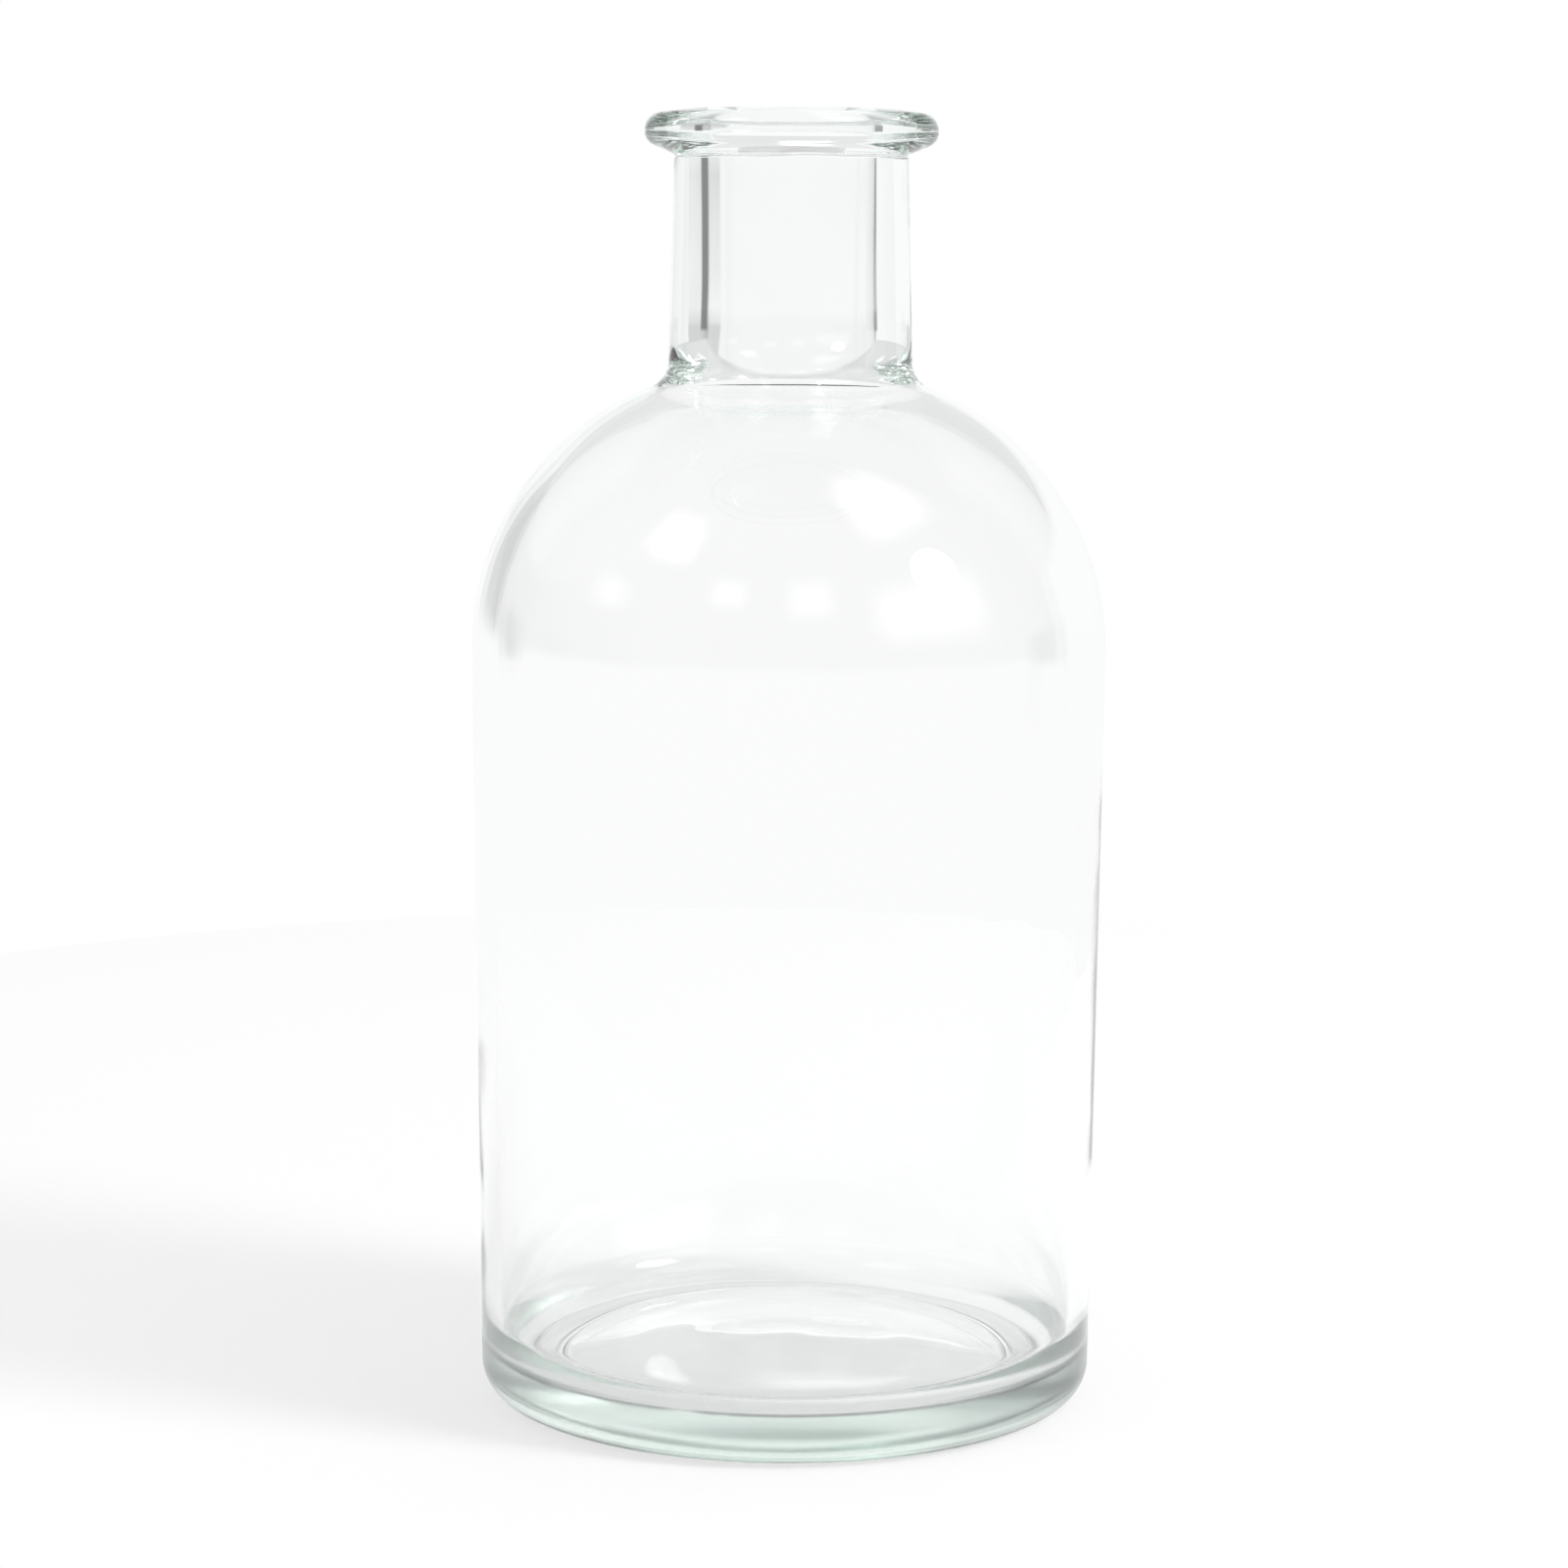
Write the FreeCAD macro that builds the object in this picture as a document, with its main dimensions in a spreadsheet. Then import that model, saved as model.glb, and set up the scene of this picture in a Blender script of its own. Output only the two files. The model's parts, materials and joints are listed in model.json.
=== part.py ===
"""Glass bud vase: one blown bottle of clear glass, drawn as a parametric FreeCAD document.

The bottle is a solid of revolution about +Z. Its origin is the centre of the plane it stands on.
Lengths are in millimetres. Radii are measured from the axis and heights from the standing plane.
"""
import FreeCAD, Part
import os

import Sketcher

NODE = "glass_bottle"

# alias, value, meaning
DIMENSIONS = [
    ("overall_height", 136.3, "standing plane to the top of the lip"),
    ("foot_radius", 32.5, "outer wall carried down to the standing plane"),
    ("spring_radius", 33.4, "outer wall where the shoulder begins, its widest point"),
    ("spring_height", 80.0, "height where the wall turns into the shoulder"),
    ("shoulder_arc", 29.5, "radius of the outer shoulder arc"),
    ("neck_root_radius", 12.75, "outer neck where it meets the shoulder"),
    ("neck_top_radius", 12.2, "outer neck under the lip"),
    ("lip_radius", 15.3, "outside of the lip"),
    ("lip_root_height", 131.6, "underside of the lip at the neck"),
    ("lip_edge_height", 132.9, "underside of the lip at its outside"),
    ("lip_crown_radius", 10.5, "edge of the level part of the lip's top"),
    ("lip_brow_height", 135.7, "top of the lip at its outside, a little lower than its crown"),
    ("wall_thickness", 2.2, "glass in the straight wall"),
    ("inner_shoulder_arc", 27.0, "radius of the shoulder arc inside the bottle"),
    ("bore_radius", 8.65, "inside of the neck"),
    ("floor_centre_height", 7.6, "inner floor at the axis"),
    ("floor_edge_height", 5.5, "inner floor where its crown ends"),
    ("floor_edge_radius", 23.3, "radius of the crowned part of the inner floor"),
    ("inner_heel_height", 9.3, "height where the inner wall starts to turn into the floor"),
    ("push_up_radius", 24.0, "edge of the hollow under the base"),
    ("push_up_step_radius", 23.3, "top of the step round that hollow"),
    ("push_up_step_height", 0.65, "height of that step"),
    ("push_up_height", 2.8, "depth of the hollow under the base at the axis"),
    ("heel_fillet", 3.8, "outer corner between wall and base"),
    ("bearing_fillet", 0.5, "inner edge of the ring that the bottle stands on"),
    ("neck_root_fillet", 3.0, "outer corner between shoulder and neck"),
    ("inner_neck_fillet", 10.0, "inner corner between shoulder and neck"),
    ("floor_fillet", 2.0, "soft edge of the crowned floor"),
    ("lip_lower_fillet", 1.5, "lower outside edge of the lip"),
    ("lip_upper_fillet", 1.85, "upper outside edge of the lip"),
    ("lip_crown_fillet", 10.0, "blend between the level and the sloping part of the lip's top"),
    ("mouth_fillet", 1.1, "inside edge of the lip"),
    ("parting_depth", 0.12, "depth of the mould line round the neck under the lip"),
    ("parting_height", 131.2, "lower side of that mould line"),
    ("parting_width", 0.3, "width of that mould line, measured along the neck"),
]

X_AXIS = -1
Z_AXIS = -2
START, END, CENTRE = 1, 2, 3
MATCH = 1e-4


def make_sheet(doc):
    """The driving dimensions, one alias to a row."""
    sheet = doc.addObject("Spreadsheet::Sheet", "dims")
    for row, (alias, value, meaning) in enumerate(DIMENSIONS, start=1):
        sheet.set(f"A{row}", alias)
        sheet.set(f"B{row}", str(value))
        sheet.set(f"C{row}", meaning)
        sheet.setAlias(f"B{row}", alias)
    doc.recompute()
    return sheet


def make_body(doc):
    """The glass itself: every feature below belongs to this body."""
    body = doc.addObject("PartDesign::Body", "Bottle")
    body.Label = NODE
    body.Placement = FreeCAD.Placement()
    return body


def half_section(body, name):
    """An empty sketch on the body's XZ plane: sketch x is the radius, sketch y the height."""
    sketch = body.newObject("Sketcher::SketchObject", name)
    plane = next(item for item in body.Origin.OriginFeatures if item.Role == "XZ_Plane")
    sketch.AttachmentSupport = [(plane, "")]
    sketch.MapMode = "FlatFace"
    return sketch


def add_line(sketch, start, end):
    """A straight edge between two (radius, height) guesses that the constraints then settle."""
    return sketch.addGeometry(Part.LineSegment(FreeCAD.Vector(*start), FreeCAD.Vector(*end)))


def add_arc(sketch, start, middle, end):
    """A circular edge through three (radius, height) guesses, run anticlockwise from start to end."""
    arc = Part.Arc(FreeCAD.Vector(*start), FreeCAD.Vector(*middle), FreeCAD.Vector(*end))
    return sketch.addGeometry(arc)


def bind(sketch, name, kind, places, expression):
    """A dimension in the sketch whose value is an expression on the sheet."""
    value = float(sketch.evalExpression(expression))
    index = sketch.addConstraint(Sketcher.Constraint(kind, *places, value))
    sketch.renameConstraint(index, name)
    sketch.setExpression(f"Constraints.{name}", expression)


def place_point(sketch, name, geometry, vertex, radius=None, height=None):
    """Ties one vertex to the sheet by its radius, its height or both."""
    if radius is not None:
        bind(sketch, f"{name}_r", "DistanceX", (X_AXIS, START, geometry, vertex), radius)
    if height is not None:
        bind(sketch, f"{name}_z", "DistanceY", (X_AXIS, START, geometry, vertex), height)


def join(sketch, first, first_end, second, second_end):
    """Makes two vertices one."""
    sketch.addConstraint(Sketcher.Constraint("Coincident", first, first_end, second, second_end))


def put_on_axis(sketch, geometry, vertex):
    """Keeps a vertex on the bottle's axis."""
    sketch.addConstraint(Sketcher.Constraint("PointOnObject", geometry, vertex, Z_AXIS))


def revolve(body, kind, name, sketch):
    """A full turn of a half section about the bottle's axis, adding (Revolution) or cutting (Groove)."""
    feature = body.newObject(f"PartDesign::{kind}", name)
    feature.Profile = sketch
    feature.ReferenceAxis = (sketch, ["V_Axis"])
    feature.Angle = 360.0
    sketch.Visibility = False
    body.Document.recompute()
    return feature


def ring_edges(shape, radius, height=None, above=0.0, below=float("inf")):
    """Names of the full circles of this radius, at one height or between two."""
    names = []
    for number, edge in enumerate(shape.Edges, start=1):
        if edge.Degenerated or not isinstance(edge.Curve, Part.Circle):
            continue
        if abs(edge.Curve.Radius - radius) > MATCH:
            continue
        level = edge.Curve.Center.z
        if height is not None and abs(level - height) > MATCH:
            continue
        if above - MATCH < level < below + MATCH:
            names.append(f"Edge{number}")
    return names


def round_off(body, name, edges, size):
    """A fillet on named edges of the body's last feature, its radius bound to the sheet."""
    if not edges:
        raise RuntimeError(f"{name}: no edge found")
    base = body.Tip
    fillet = body.newObject("PartDesign::Fillet", name)
    fillet.Base = (base, edges)
    fillet.setExpression("Radius", f"dims.{size}")
    body.Document.recompute()
    return fillet


def draw_outline(body):
    """The outside of the glass from the axis at the base, up the wall, neck and lip, to the axis."""
    sketch = half_section(body, "outline")
    base = add_line(sketch, (0, 0), (32, 0))
    wall = add_line(sketch, (32, 0), (33, 80))
    shoulder = add_arc(sketch, (33, 80), (25, 100), (13, 108))
    neck = add_line(sketch, (13, 108), (12, 131))
    lip_under = add_line(sketch, (12, 131), (15, 132))
    lip_side = add_line(sketch, (15, 132), (15, 135))
    lip_brow = add_line(sketch, (15, 135), (10, 136))
    lip_top = add_line(sketch, (10, 136), (0, 136))
    axis = add_line(sketch, (0, 136), (0, 0))
    join(sketch, base, END, wall, START)
    join(sketch, shoulder, END, neck, START)
    join(sketch, neck, END, lip_under, START)
    join(sketch, lip_under, END, lip_side, START)
    join(sketch, lip_side, END, lip_brow, START)
    join(sketch, lip_brow, END, lip_top, START)
    join(sketch, lip_top, END, axis, START)
    join(sketch, axis, END, base, START)
    join(sketch, base, START, X_AXIS, START)
    sketch.addConstraint(Sketcher.Constraint("Tangent", wall, END, shoulder, START))
    put_on_axis(sketch, axis, START)
    place_point(sketch, "foot", base, END, "dims.foot_radius")
    sketch.addConstraint(Sketcher.Constraint("Horizontal", base))
    place_point(sketch, "spring", wall, END, "dims.spring_radius", "dims.spring_height")
    bind(sketch, "shoulder_radius", "Radius", (shoulder,), "dims.shoulder_arc")
    place_point(sketch, "neck_root", neck, START, "dims.neck_root_radius")
    place_point(sketch, "lip_root", neck, END, "dims.neck_top_radius", "dims.lip_root_height")
    place_point(sketch, "lip_edge", lip_under, END, "dims.lip_radius", "dims.lip_edge_height")
    sketch.addConstraint(Sketcher.Constraint("Vertical", lip_side))
    sketch.addConstraint(Sketcher.Constraint("Horizontal", lip_top))
    place_point(sketch, "lip_brow", lip_side, END, height="dims.lip_brow_height")
    place_point(sketch, "lip_crown", lip_brow, END, "dims.lip_crown_radius", "dims.overall_height")
    return sketch


def draw_cavity(body):
    """The hollow inside: crowned floor, inner wall, inner shoulder and the bore of the neck."""
    sketch = half_section(body, "cavity")
    floor = add_arc(sketch, (23, 6), (12, 7), (0, 7))
    heel = add_arc(sketch, (23, 6), (28, 5.5), (30, 9))
    wall = add_line(sketch, (30, 9), (31, 80))
    shoulder = add_arc(sketch, (31, 80), (24, 98), (9, 107))
    bore = add_line(sketch, (9, 107), (9, 136))
    mouth = add_line(sketch, (9, 136), (0, 136))
    axis = add_line(sketch, (0, 136), (0, 7))
    join(sketch, floor, START, heel, START)
    join(sketch, shoulder, END, bore, START)
    join(sketch, bore, END, mouth, START)
    join(sketch, mouth, END, axis, START)
    join(sketch, axis, END, floor, END)
    put_on_axis(sketch, floor, CENTRE)
    put_on_axis(sketch, axis, START)
    put_on_axis(sketch, axis, END)
    sketch.addConstraint(Sketcher.Constraint("Tangent", heel, END, wall, START))
    sketch.addConstraint(Sketcher.Constraint("Tangent", wall, END, shoulder, START))
    place_point(sketch, "floor_centre", floor, END, height="dims.floor_centre_height")
    place_point(sketch, "floor_edge", floor, START, "dims.floor_edge_radius", "dims.floor_edge_height")
    slope = "(dims.spring_radius - dims.foot_radius) / dims.spring_height"
    inner_heel = f"dims.foot_radius + {slope} * dims.inner_heel_height - dims.wall_thickness"
    place_point(sketch, "inner_heel", wall, START, inner_heel, "dims.inner_heel_height")
    inner_spring = "dims.spring_radius - dims.wall_thickness"
    place_point(sketch, "inner_spring", wall, END, inner_spring, "dims.spring_height")
    bind(sketch, "shoulder_radius", "Radius", (shoulder,), "dims.inner_shoulder_arc")
    place_point(sketch, "bore_root", bore, START, "dims.bore_radius")
    sketch.addConstraint(Sketcher.Constraint("Vertical", bore))
    sketch.addConstraint(Sketcher.Constraint("Horizontal", mouth))
    place_point(sketch, "mouth", bore, END, height="dims.overall_height")
    return sketch


def draw_push_up(body):
    """The shallow hollow under the base: a small sloping step, then a cap of a sphere."""
    sketch = half_section(body, "push_up")
    step = add_line(sketch, (24, 0), (23, 0.7))
    cap = add_arc(sketch, (23, 0.7), (12, 2), (0, 2.5))
    axis = add_line(sketch, (0, 2.5), (0, 0))
    plane = add_line(sketch, (0, 0), (24, 0))
    join(sketch, step, END, cap, START)
    join(sketch, cap, END, axis, START)
    join(sketch, axis, END, plane, START)
    join(sketch, plane, END, step, START)
    join(sketch, plane, START, X_AXIS, START)
    put_on_axis(sketch, cap, CENTRE)
    put_on_axis(sketch, cap, END)
    sketch.addConstraint(Sketcher.Constraint("Horizontal", plane))
    place_point(sketch, "edge", plane, END, "dims.push_up_radius")
    place_point(sketch, "step", step, END, "dims.push_up_step_radius", "dims.push_up_step_height")
    place_point(sketch, "crown", cap, END, height="dims.push_up_height")
    return sketch


def draw_parting_line(body):
    """The fine mould line round the neck: a flat notch just under the lip."""
    sketch = half_section(body, "parting_line")
    deep_r = "dims.neck_top_radius - dims.parting_depth"
    open_r = "dims.lip_radius"
    low_z = "dims.parting_height"
    top_z = "dims.parting_height + dims.parting_width"
    top = add_line(sketch, (12, 131), (15, 131))
    side = add_line(sketch, (15, 131), (15, 130.5))
    low = add_line(sketch, (15, 130.5), (12, 130.5))
    deep = add_line(sketch, (12, 130.5), (12, 131))
    join(sketch, top, END, side, START)
    join(sketch, side, END, low, START)
    join(sketch, low, END, deep, START)
    join(sketch, deep, END, top, START)
    for edge in (top, low):
        sketch.addConstraint(Sketcher.Constraint("Horizontal", edge))
    for edge in (side, deep):
        sketch.addConstraint(Sketcher.Constraint("Vertical", edge))
    place_point(sketch, "inside", top, START, deep_r, top_z)
    place_point(sketch, "outside", low, START, open_r, low_z)
    return sketch


def build_bottle(doc, sheet):
    """The feature tree of the bottle, outside first, then what is cut from it, then its soft edges."""
    body = make_body(doc)
    outline = draw_outline(body)
    revolve(body, "Revolution", "glass_mass", outline)
    solid_volume = body.Shape.Volume
    revolve(body, "Groove", "inside", draw_cavity(body))
    revolve(body, "Groove", "base_hollow", draw_push_up(body))
    revolve(body, "Groove", "mould_line", draw_parting_line(body))
    if not 0 < body.Shape.Volume < 0.5 * solid_volume:
        raise RuntimeError("the cavity did not cut")

    neck_root = dict(above=sheet.spring_height, below=sheet.parting_height)
    soften = [
        ("heel_edge", "foot_radius", dict(height=0.0), "heel_fillet"),
        ("bearing_edge", "push_up_radius", dict(height=0.0), "bearing_fillet"),
        ("neck_root_edge", "neck_root_radius", neck_root, "neck_root_fillet"),
        ("inner_neck_edge", "bore_radius", neck_root, "inner_neck_fillet"),
        ("lip_lower_edge", "lip_radius", dict(height=sheet.lip_edge_height), "lip_lower_fillet"),
        ("lip_upper_edge", "lip_radius", dict(height=sheet.lip_brow_height), "lip_upper_fillet"),
        ("lip_crown_edge", "lip_crown_radius", dict(height=sheet.overall_height), "lip_crown_fillet"),
        ("mouth_edge", "bore_radius", dict(height=sheet.overall_height), "mouth_fillet"),
        ("floor_edge", "floor_edge_radius", dict(height=sheet.floor_edge_height), "floor_fillet"),
    ]
    for name, ring, where, size in soften:
        round_off(body, name, ring_edges(body.Shape, sheet.get(ring), **where), size)
    return body


def check(doc, body):
    """Stops if any feature failed or the glass is not one valid solid."""
    for item in doc.Objects:
        if "Invalid" in item.State or "Error" in item.State:
            raise RuntimeError(f"{item.Name}: {item.State}")
    for item in doc.Objects:
        if item.TypeId == "Sketcher::SketchObject" and item.solve() != 0:
            raise RuntimeError(f"{item.Name}: the sketch does not solve")
    if body.Shape.isNull() or not body.Shape.isValid() or len(body.Shape.Solids) != 1:
        raise RuntimeError(f"{body.Label}: not one valid solid")


def main():
    """Builds the document, checks it and writes one STEP file for the bottle."""
    doc = FreeCAD.newDocument("bud_vase")
    sheet = make_sheet(doc)
    body = build_bottle(doc, sheet)
    doc.recompute()
    check(doc, body)
    os.makedirs("parts", exist_ok=True)
    body.Shape.exportStep(f"parts/{body.Label}.step")
    box = body.Shape.optimalBoundingBox(False, False)
    print(f"{body.Label}: {box.XLength:.2f} x {box.YLength:.2f} x {box.ZLength:.2f} mm,"
          f" glass {body.Shape.Volume / 1000:.1f} cm3")


main()
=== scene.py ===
"""Glass bud vase: the look of the bottle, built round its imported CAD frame.

Sizes of the bottle are in millimetres until a mesh is made, and metres after that.
"""
import json
import math

import bpy
from mathutils import Matrix, Vector


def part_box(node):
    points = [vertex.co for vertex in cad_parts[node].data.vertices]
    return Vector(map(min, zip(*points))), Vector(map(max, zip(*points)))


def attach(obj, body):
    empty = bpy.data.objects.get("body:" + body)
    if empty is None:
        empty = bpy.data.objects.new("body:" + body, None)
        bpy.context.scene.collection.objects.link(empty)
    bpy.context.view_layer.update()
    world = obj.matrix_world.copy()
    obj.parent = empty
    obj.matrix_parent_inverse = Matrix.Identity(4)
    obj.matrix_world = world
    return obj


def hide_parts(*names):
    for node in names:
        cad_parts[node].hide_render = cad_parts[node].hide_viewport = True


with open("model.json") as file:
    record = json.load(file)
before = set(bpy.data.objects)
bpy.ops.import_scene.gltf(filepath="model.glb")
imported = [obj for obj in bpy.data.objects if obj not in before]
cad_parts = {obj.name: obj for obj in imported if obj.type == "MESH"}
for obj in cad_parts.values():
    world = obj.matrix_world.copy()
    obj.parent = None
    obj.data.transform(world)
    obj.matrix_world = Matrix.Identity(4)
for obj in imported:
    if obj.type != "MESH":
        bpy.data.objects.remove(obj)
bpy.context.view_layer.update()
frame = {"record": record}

NODE = "glass_bottle"
MM = 0.001

# ---------------------------------------------------------------- sizes of the bottle

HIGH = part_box(NODE)[1]
HEIGHT = HIGH.z / MM
SPRING_R = HIGH.x / MM
MOUNTS = {mount["name"]: mount for mount in frame["record"]["mounts"]}
BORE_R = MOUNTS["neck_bore"]["dims"]["r_mm"]

SPRING_Z = 80.0          # where the straight wall turns into the shoulder
FOOT_R = SPRING_R - 0.9  # the wall tapers a little towards the base
WALL = 2.2
TAPER = math.atan((SPRING_R - FOOT_R) / SPRING_Z)
HEEL_FILLET = 3.8
RING_INNER_R = 24.0      # the flat ring that the bottle stands on starts here
RING_FILLET = 0.5
STEP_R = RING_INNER_R - 0.7
STEP_Z = 0.65
PUSH_UP_Z = 2.8          # hollow under the base, at the axis
FLOOR_Z = 7.6            # inner floor at the axis
FLOOR_EDGE_R = 23.3
FLOOR_EDGE_Z = 5.5
FLOOR_FILLET = 2.0
INNER_HEEL_Z = 9.3       # where the inner wall starts to turn into the floor
SHOULDER_ARC = 29.5
INNER_SHOULDER_ARC = 27.0
NECK_ROOT_R = 12.75
NECK_ROOT_FILLET = 3.0
INNER_NECK_FILLET = 10.0
NECK_TOP_R = 12.2
LIP_R = 15.3
LIP_ROOT_Z = HEIGHT - 4.7
LIP_ROOT_FILLET = 0.1
LIP_EDGE_Z = HEIGHT - 3.4
LIP_LOWER_FILLET = 1.5
LIP_BROW_Z = HEIGHT - 0.6
LIP_UPPER_FILLET = 1.85
LIP_CROWN_R = 10.5
LIP_CROWN_FILLET = 10.0
MOUTH_R = BORE_R + 1.2   # the lip's top starts to turn into the mouth
MOUTH_FILLET = 1.1
MOUTH_Z = HEIGHT - 4.0   # the bore is straight from here down
PARTING_Z = LIP_ROOT_Z - 0.25
PARTING_HALF = 0.15
PARTING_DEPTH = 0.12
PARTING_FILLET = 0.05

SEGMENTS = 192
ARC_STEP = math.radians(4.0)   # an arc is cut at least this finely
ARC_RUN = 0.8                  # and into chords no longer than this
LINE_STEP = 2.0

# Sine waves round the bottle. The mould line under the lip wavers in height: (height, waves, phase).
PARTING_WAVES = [(0.07, 4, 0.6), (0.05, 9, 2.0)]
PARTING_REACH = 0.45           # the wavering dies out this far above and below the line
# The blown inside wanders in radius: (height, waves, turn for each mm of height, phase).
INNER_WAVES = [(0.035, 2, 0.06, 0.0), (0.02, 5, -0.11, 1.3)]
CALM_R = 12.0                  # within this radius the wander dies out towards the axis


# ---------------------------------------------------------------- profile of revolution

def arc_points(centre, radius, start, end):
    """Points of a circular arc from one angle to another, both ends included."""
    turn = abs(end - start)
    count = max(2, math.ceil(turn / ARC_STEP), math.ceil(radius * turn / ARC_RUN))
    angles = [start + (end - start) * i / count for i in range(count + 1)]
    return [(centre[0] + radius * math.cos(a), centre[1] + radius * math.sin(a)) for a in angles]


def rounded(corners):
    """The (r, z) points of a path of straight runs whose corners, given as (r, z, radius), are arcs."""
    points = [corners[0][:2]]
    for before, corner, after in zip(corners, corners[1:], corners[2:]):
        here = Vector(corner[:2])
        to_before = (Vector(before[:2]) - here).normalized()
        to_after = (Vector(after[:2]) - here).normalized()
        half = to_before.angle(to_after) / 2
        middle = here + (to_before + to_after).normalized() * (corner[2] / math.sin(half))
        start = here + to_before * (corner[2] / math.tan(half)) - middle
        end = here + to_after * (corner[2] / math.tan(half)) - middle
        first = math.atan2(start.y, start.x)
        turn = (math.atan2(end.y, end.x) - first + math.pi) % (2 * math.pi) - math.pi
        points += arc_points(middle, corner[2], first, first + turn)
    return points + [corners[-1][:2]]


def divided(points):
    """The same path with its long straight runs cut into short ones."""
    path = [points[0]]
    for start, end in zip(points, points[1:]):
        length = math.dist(start, end)
        if length < 1e-6:
            continue
        count = max(1, math.ceil(length / LINE_STEP))
        path += [(start[0] + (end[0] - start[0]) * i / count, start[1] + (end[1] - start[1]) * i / count)
                 for i in range(1, count + 1)]
    return path


def dome_and_neck(wall_r, arc_r, neck_r, fillet):
    """A shoulder arc tangent to the wall and the fillet that joins it to the neck, going up."""
    centre_r = wall_r - arc_r
    meet_r = neck_r + fillet - centre_r
    rise = math.sqrt((arc_r + fillet) ** 2 - meet_r ** 2)
    slope = math.atan2(rise, meet_r)
    shoulder = arc_points((centre_r, SPRING_Z), arc_r, 0.0, slope)
    corner = arc_points((neck_r + fillet, SPRING_Z + rise), fillet, slope + math.pi, math.pi)
    return shoulder + corner[1:]


def cap(edge_r, edge_z, top_z):
    """Centre height and radius of the sphere through a ring and a point above its middle."""
    rise = top_z - edge_z
    radius = (edge_r ** 2 + rise ** 2) / (2 * rise)
    return top_z - radius, radius


def foot():
    """The domed hollow under the base, the standing ring, the heel and the tapered wall."""
    cap_z, cap_r = cap(STEP_R, STEP_Z, PUSH_UP_Z)
    hollow = arc_points((0, cap_z), cap_r, math.pi / 2, math.acos(STEP_R / cap_r))
    return hollow[:-1] + rounded([
        hollow[-1],
        (RING_INNER_R, 0, RING_FILLET),
        (FOOT_R, 0, HEEL_FILLET),
        (SPRING_R, SPRING_Z),
    ])


def lip(neck_root):
    """From the root of the neck over the fine mould line and the rolled lip to the edge of the mouth."""
    groove_r = NECK_TOP_R - PARTING_DEPTH
    return rounded([
        neck_root,
        (NECK_TOP_R, PARTING_Z - PARTING_HALF, PARTING_FILLET),
        (groove_r, PARTING_Z - PARTING_HALF / 2, PARTING_FILLET),
        (groove_r, PARTING_Z + PARTING_HALF / 2, PARTING_FILLET),
        (NECK_TOP_R, PARTING_Z + PARTING_HALF, PARTING_FILLET),
        (NECK_TOP_R, LIP_ROOT_Z, LIP_ROOT_FILLET),
        (LIP_R, LIP_EDGE_Z, LIP_LOWER_FILLET),
        (LIP_R, LIP_BROW_Z, LIP_UPPER_FILLET),
        (LIP_CROWN_R, HEIGHT, LIP_CROWN_FILLET),
        (MOUTH_R, HEIGHT),
    ])


def outer_path():
    """From the middle of the hollow under the base, out and up the wall, to the lip's top."""
    shoulder = dome_and_neck(SPRING_R, SHOULDER_ARC, NECK_ROOT_R, NECK_ROOT_FILLET)
    return foot()[:-1] + shoulder[:-1] + lip(shoulder[-1])


def inner_base():
    """From the inner wall round its heel, over the floor's soft edge and across its crown to the axis."""
    wall_r = FOOT_R - WALL + math.tan(TAPER) * INNER_HEEL_Z
    across, up = wall_r - FLOOR_EDGE_R, INNER_HEEL_Z - FLOOR_EDGE_Z
    heel = (across ** 2 + up ** 2) / (2 * (across * math.cos(TAPER) - up * math.sin(TAPER)))
    heel_c = Vector((wall_r - heel * math.cos(TAPER), INNER_HEEL_Z + heel * math.sin(TAPER)))
    cap_z, cap_r = cap(FLOOR_EDGE_R, FLOOR_EDGE_Z, FLOOR_Z)
    cap_c = Vector((0, cap_z))
    gap = (heel_c - cap_c).length
    near, far = heel + FLOOR_FILLET, cap_r - FLOOR_FILLET
    lean = math.acos((gap ** 2 + far ** 2 - near ** 2) / (2 * gap * far))
    line = math.atan2(heel_c.y - cap_c.y, heel_c.x - cap_c.x)
    edge_c = cap_c + Vector((math.cos(line - lean), math.sin(line - lean))) * far
    to_edge = edge_c - heel_c
    turn = math.atan2(to_edge.y, to_edge.x)
    return (arc_points(heel_c, heel, -TAPER, turn)
            + arc_points(edge_c, FLOOR_FILLET, turn + math.pi, line - lean)[1:]
            + arc_points(cap_c, cap_r, line - lean, math.pi / 2)[1:])


def inner_path():
    """From the lip's top down the bore, the inner shoulder and wall, to the middle of the floor."""
    mouth = rounded([(MOUTH_R, HEIGHT), (BORE_R, HEIGHT, MOUTH_FILLET), (BORE_R, MOUTH_Z)])
    dome = dome_and_neck(SPRING_R - WALL, INNER_SHOULDER_ARC, BORE_R, INNER_NECK_FILLET)[::-1]
    return mouth + dome + inner_base()


# ---------------------------------------------------------------- lathe mesh

def outer_point(r, z, a):
    """A point of the outside, where the mould line wavers in height."""
    near = max(0.0, 1.0 - abs(z - PARTING_Z) / PARTING_REACH)
    wave = sum(height * math.sin(waves * a + phase) for height, waves, phase in PARTING_WAVES)
    return Vector((r * math.cos(a), r * math.sin(a), z + near * wave)) * MM


def inner_point(r, z, a):
    """A point of the blown inside, which wanders in radius."""
    wave = sum(height * math.sin(waves * a + twist * z + phase)
               for height, waves, twist, phase in INNER_WAVES)
    wavy = r + wave * min(1.0, r / CALM_R)
    return Vector((wavy * math.cos(a), wavy * math.sin(a), z)) * MM


def lathe_faces(rings):
    """Faces between neighbouring rings, and the fans that close the first and the last on the axis."""
    last = 1 + rings * SEGMENTS
    top = last - SEGMENTS
    faces = []
    for i in range(SEGMENTS):
        j = (i + 1) % SEGMENTS
        faces.append((0, 1 + j, 1 + i))
        for low in range(1, top, SEGMENTS):
            high = low + SEGMENTS
            faces.append((low + i, low + j, high + j, high + i))
        faces.append((top + i, top + j, last))
    return faces


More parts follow.
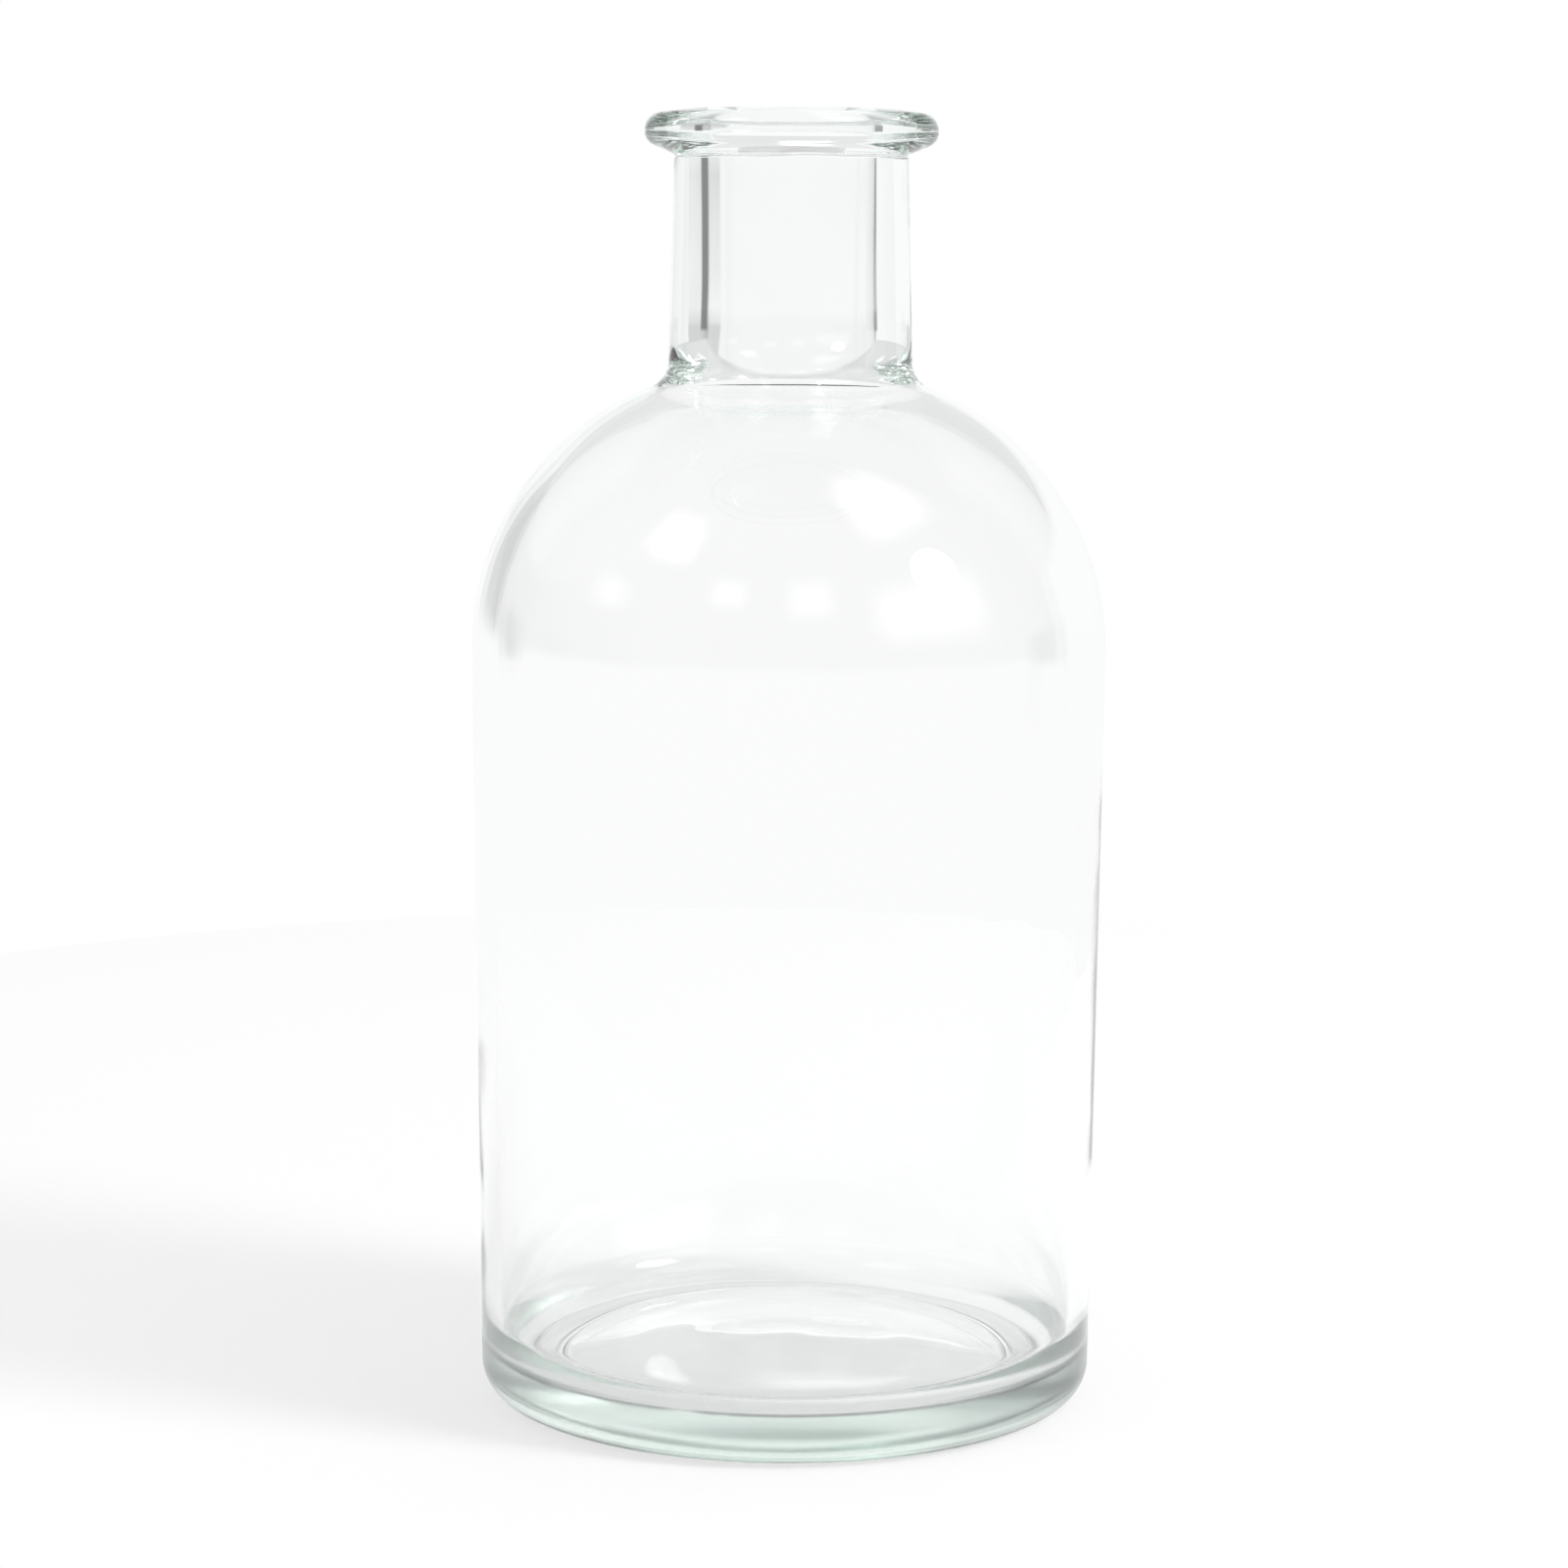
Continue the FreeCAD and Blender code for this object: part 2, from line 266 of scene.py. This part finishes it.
def revolve(name, outside, inside):
    """A closed smooth mesh from two paths that meet on the lip and end on the axis."""
    angles = [2 * math.pi * i / SEGMENTS for i in range(SEGMENTS)]
    verts = [Vector((0, 0, outside[0][1])) * MM]
    for r, z in outside[1:]:
        verts += [outer_point(r, z, a) for a in angles]
    for r, z in inside[1:-1]:
        verts += [inner_point(r, z, a) for a in angles]
    verts.append(Vector((0, 0, inside[-1][1])) * MM)
    mesh = bpy.data.meshes.new(name)
    mesh.from_pydata(verts, [], lathe_faces(len(outside) + len(inside) - 3))
    mesh.shade_smooth()
    mesh.update()
    obj = bpy.data.objects.new(name, mesh)
    bpy.context.scene.collection.objects.link(obj)
    return obj


# ---------------------------------------------------------------- shader nodes

def math_node(tree, operation, *values):
    """A maths node fed by sockets or numbers; returns its output."""
    node = tree.nodes.new("ShaderNodeMath")
    node.operation = operation
    for socket, value in zip(node.inputs, values):
        if isinstance(value, (int, float)):
            socket.default_value = value
        else:
            tree.links.new(value, socket)
    return node.outputs[0]


def ramp(tree, value, start, end, low, high):
    """A smooth change from low to high while the value goes from start to end."""
    node = tree.nodes.new("ShaderNodeMapRange")
    node.interpolation_type = "SMOOTHSTEP"
    node.inputs["From Min"].default_value = start
    node.inputs["From Max"].default_value = end
    node.inputs["To Min"].default_value = low
    node.inputs["To Max"].default_value = high
    tree.links.new(value, node.inputs["Value"])
    return node.outputs["Result"]


# ---------------------------------------------------------------- glass

GLASS_IOR = 1.52
GLASS_TINT = (0.64, 0.97, 0.82, 1)
TINT_DENSITY = 5.5       # per metre of glass
RING_FROST = 0.2         # roughness of the stippled ring that the bottle stands on
HEEL_FROST = 0.2         # of the mould-chilled heel above it
POLISH = 0.0             # and of the fire-polished rest
RING_TOP = (0.02 * MM, 0.08 * MM)  # the stipple fades out between these heights
HEEL_TOP = (6 * MM, 9 * MM)        # and the matt heel between these
HEEL_EDGE = (28.5 * MM, 30 * MM)   # which sets in between these radii
SWELL_SCALE = 70.0                 # the swells of the surface are about 1/70 m across
SWELL_HEIGHT = 0.1 * MM


def frost(tree, coords):
    """Roughness: a stippled standing ring, a slightly matt heel, and polish everywhere else."""
    place = tree.nodes.new("ShaderNodeSeparateXYZ")
    tree.links.new(coords, place.inputs[0])
    x, y, z = place.outputs
    out = math_node(tree, "SQRT", math_node(tree, "ADD", math_node(tree, "MULTIPLY", x, x),
                                            math_node(tree, "MULTIPLY", y, y)))
    ring = ramp(tree, z, *RING_TOP, RING_FROST, POLISH)
    heel = math_node(tree, "MULTIPLY", ramp(tree, out, *HEEL_EDGE, POLISH, HEEL_FROST),
                     ramp(tree, z, *HEEL_TOP, 1, 0))
    return math_node(tree, "MAXIMUM", ring, heel)


def swell(tree, coords):
    """The slow unevenness of blown glass, as a change of the surface's normal."""
    noise = tree.nodes.new("ShaderNodeTexNoise")
    noise.inputs["Scale"].default_value = SWELL_SCALE
    noise.inputs["Detail"].default_value = 1.0
    tree.links.new(coords, noise.inputs["Vector"])
    bump = tree.nodes.new("ShaderNodeBump")
    bump.inputs["Strength"].default_value = 1.0
    bump.inputs["Distance"].default_value = SWELL_HEIGHT
    tree.links.new(noise.outputs["Fac"], bump.inputs["Height"])
    return bump.outputs["Normal"]


def glass_material():
    """Soda-lime glass: clear, with the mint tint that thick glass takes."""
    material = bpy.data.materials.new("clear_glass")
    material.use_nodes = True
    tree = material.node_tree
    shader = tree.nodes["Principled BSDF"]
    shader.inputs["Base Color"].default_value = (1, 1, 1, 1)
    shader.inputs["Transmission Weight"].default_value = 1.0
    shader.inputs["IOR"].default_value = GLASS_IOR
    coords = tree.nodes.new("ShaderNodeTexCoord").outputs["Object"]
    tree.links.new(frost(tree, coords), shader.inputs["Roughness"])
    tree.links.new(swell(tree, coords), shader.inputs["Normal"])
    volume = tree.nodes.new("ShaderNodeVolumeAbsorption")
    volume.inputs["Color"].default_value = GLASS_TINT
    volume.inputs["Density"].default_value = TINT_DENSITY
    tree.links.new(volume.outputs["Volume"], tree.nodes["Material Output"].inputs["Volume"])
    return material


def build_bottle():
    """The glass, standing for the CAD node of the same shape."""
    bottle = revolve("bottle_glass", divided(outer_path()), divided(inner_path()))
    bottle.data.materials.append(glass_material())
    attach(bottle, "root")
    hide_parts(NODE)


# ---------------------------------------------------------------- studio

FLOOR_RADIUS = 0.2
FLOOR_BACK = 0.12        # the sheet lies more behind the bottle than in front of it
FLOOR_DROP = 0.00002     # and this far under it
FLOOR_SIDES = 96
FLOOR_COLOUR = 0.38
FLOOR_GLOW = 0.60

KEY_PLACE = (0.89, -0.414, 0.688)    # up to the right and a little in front
KEY_SIZE = 0.36
KEY_POWER = 8.5

CAMERA_PLACE = (0, -0.4508, 0.1254)
CAMERA_LENS = 98.45
CAMERA_SENSOR = 36.0
CAMERA_DIP = math.radians(7.563)     # below the horizon
CAMERA_YAW = math.radians(0.054)
CAMERA_ROLL = math.radians(0.322)

# The room as the bottle sees it: soft-edged areas laid one over another, in degrees. Azimuth is measured
# from straight behind the bottle, positive towards its right; elevation from the horizon.
# name: (azimuth, half width, elevation, half height, soft edge, light)
ROOM_LIGHT = 0.60
ROOM = {
    "wall left": (-100, 36, 2, 10, 8, 0.50),
    "wall in front": (180, 56, 2, 10, 8, 0.60),
    "wall above the backdrop": (0, 62, 32, 14, 4, 0.79),
    "backdrop left": (-33, 16, 0, 14, 5, 0.66),
    "backdrop": (20, 41, 0, 14, 3, 0.98),
    "paper all round": (0, 180, -49, 45, 4, 0.97),
    "gap left of the backdrop": (-58, 4, -0.3, 2, 5, 0.20),
    "gap right of the backdrop": (70, 7, -0.3, 2, 4, 0.36),
    "lamp upper left": (-122, 6, 47, 3, 9, 2.6),
    "lamp overhead": (116, 14, 62, 4, 14, 2.4),
    "lamp left": (-106, 3, 22, 1, 7, 1.4),
    "lamp front left": (-156, 3, 29, 1, 8, 1.5),
    "lamp front": (171, 3, 27, 2, 9, 1.5),
    "window": (124, 15, 19, 2, 14, 1.7),
    "lamp behind": (4, 3, 37, 3, 5, 1.7),
}


def floor_material():
    """Matt white paper, a little luminous so that it stays as pale as an overexposed sheet."""
    material = bpy.data.materials.new("studio_floor")
    material.use_nodes = True
    shader = material.node_tree.nodes["Principled BSDF"]
    shader.inputs["Base Color"].default_value = (FLOOR_COLOUR, FLOOR_COLOUR, FLOOR_COLOUR, 1)
    shader.inputs["Roughness"].default_value = 1.0
    shader.inputs["Specular IOR Level"].default_value = 0.0
    shader.inputs["Emission Color"].default_value = (1, 1, 1, 1)
    shader.inputs["Emission Strength"].default_value = FLOOR_GLOW
    return material


def build_floor():
    """A wide round sheet under the bottle."""
    angles = [2 * math.pi * i / FLOOR_SIDES for i in range(FLOOR_SIDES)]
    edge = [(FLOOR_RADIUS * math.cos(a), FLOOR_BACK + FLOOR_RADIUS * math.sin(a), -FLOOR_DROP)
            for a in angles]
    mesh = bpy.data.meshes.new("studio_floor")
    mesh.from_pydata(edge, [], [tuple(range(FLOOR_SIDES))])
    mesh.materials.append(floor_material())
    floor = bpy.data.objects.new("studio_floor", mesh)
    bpy.context.scene.collection.objects.link(floor)


def area_mask(tree, azimuth, elevation, centre, half_width, height, half_height, edge):
    """One inside a soft-edged area of the room and nought outside it."""
    aside = math_node(tree, "WRAP", math_node(tree, "SUBTRACT", azimuth, centre), 180.0, -180.0)
    across = math_node(tree, "ABSOLUTE", aside)
    up = math_node(tree, "ABSOLUTE", math_node(tree, "SUBTRACT", elevation, height))
    return math_node(tree, "MULTIPLY", ramp(tree, across, half_width, half_width + edge, 1, 0),
                     ramp(tree, up, half_height, half_height + edge, 1, 0))


def room_light(tree):
    """How bright the room is in each direction."""
    split = tree.nodes.new("ShaderNodeSeparateXYZ")
    tree.links.new(tree.nodes.new("ShaderNodeTexCoord").outputs["Generated"], split.inputs[0])
    x, y, z = split.outputs
    azimuth = math_node(tree, "DEGREES", math_node(tree, "ARCTAN2", x, y))
    elevation = math_node(tree, "DEGREES", math_node(tree, "ARCSINE", z))
    light = ROOM_LIGHT
    for *area, level in ROOM.values():
        mask = area_mask(tree, azimuth, elevation, *area)
        change = math_node(tree, "MULTIPLY", mask, math_node(tree, "SUBTRACT", level, light))
        light = math_node(tree, "ADD", change, light)
    return light


def build_world():
    """White surroundings for the camera; for the glass, a backdrop in a darker room with soft lamps."""
    world = bpy.data.worlds.new("studio")
    bpy.context.scene.world = world
    world.use_nodes = True
    tree = world.node_tree
    room = tree.nodes["Background"]
    tree.links.new(room_light(tree), room.inputs["Color"])
    paper = tree.nodes.new("ShaderNodeBackground")
    paper.inputs["Color"].default_value = (1, 1, 1, 1)
    mix = tree.nodes.new("ShaderNodeMixShader")
    tree.links.new(tree.nodes.new("ShaderNodeLightPath").outputs["Is Camera Ray"], mix.inputs["Fac"])
    tree.links.new(room.outputs[0], mix.inputs[1])
    tree.links.new(paper.outputs[0], mix.inputs[2])
    tree.links.new(mix.outputs[0], tree.nodes["World Output"].inputs["Surface"])


def build_key_light():
    """The soft key whose shadow falls to the left, hidden from the camera and from mirror reflections."""
    data = bpy.data.lights.new("key", "AREA")
    data.shape = "DISK"
    data.size = KEY_SIZE
    data.energy = KEY_POWER
    key = bpy.data.objects.new("key", data)
    key.location = KEY_PLACE
    key.rotation_euler = (-key.location).to_track_quat("-Z", "Y").to_euler()
    key.visible_camera = False
    key.visible_glossy = False
    bpy.context.scene.collection.objects.link(key)


def build_camera():
    """A short telephoto a little above the middle of the neck, looking slightly down."""
    data = bpy.data.cameras.new("camera")
    data.sensor_width = CAMERA_SENSOR
    data.lens = CAMERA_LENS
    camera = bpy.data.objects.new("camera", data)
    camera.location = CAMERA_PLACE
    yaw = Matrix.Rotation(CAMERA_YAW, 4, "Z")
    pitch = Matrix.Rotation(math.pi / 2 - CAMERA_DIP, 4, "X")
    roll = Matrix.Rotation(CAMERA_ROLL, 4, "Z")
    camera.rotation_euler = (yaw @ pitch @ roll).to_euler()
    bpy.context.scene.collection.objects.link(camera)
    bpy.context.scene.camera = camera


def set_render_look():
    """Plain display colours, and enough bounces for light to pass four glass walls."""
    scene = bpy.context.scene
    scene.view_settings.view_transform = "Standard"
    scene.cycles.max_bounces = 32
    scene.cycles.transmission_bounces = 32
    scene.cycles.glossy_bounces = 16


build_bottle()
build_floor()
build_world()
build_key_light()
build_camera()
set_render_look()
